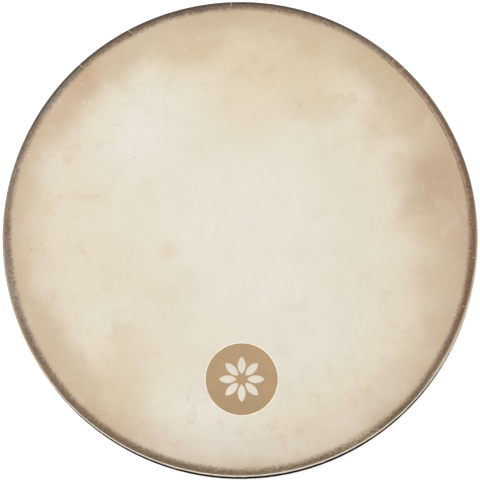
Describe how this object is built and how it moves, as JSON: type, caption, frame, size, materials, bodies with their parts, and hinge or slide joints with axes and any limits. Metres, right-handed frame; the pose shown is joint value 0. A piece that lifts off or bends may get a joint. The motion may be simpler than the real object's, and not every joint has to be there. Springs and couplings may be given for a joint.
{
  "type": "frame drum",
  "caption": "Large shallow round drum: one natural skin head glued over a dark stained laminated wooden hoop, open at the back, with a thumb hole.",
  "frame": {"origin": "centre of the open back rim, on the plane the drum rests on", "axes": "+Z along the drum's axis and up through the head; -Y towards the printed mark on the head; +X to the right of the mark as seen from above the head"},
  "size_m": [0.4571, 0.4572, 0.0636],
  "materials": {
    "stained_outer_ply": "dark stained, satin lacquer",
    "stained_inner_ply": "dark stained, matte",
    "core_ply": "stained edge grain, matte",
    "goatskin": "natural untreated skin, translucent, matte",
    "tan_ink": "printed ink, matte",
    "pale_ink": "printed ink, matte"
  },
  "bodies": {
    "root": {"ply_1_inner": "stained_inner_ply", "ply_2": "core_ply", "ply_3": "core_ply", "ply_4": "core_ply", "ply_5": "core_ply", "ply_6_outer": "stained_outer_ply", "skin_head": "goatskin", "printed_disc": "tan_ink", "printed_outline": "pale_ink"}
  },
  "joints": []
}
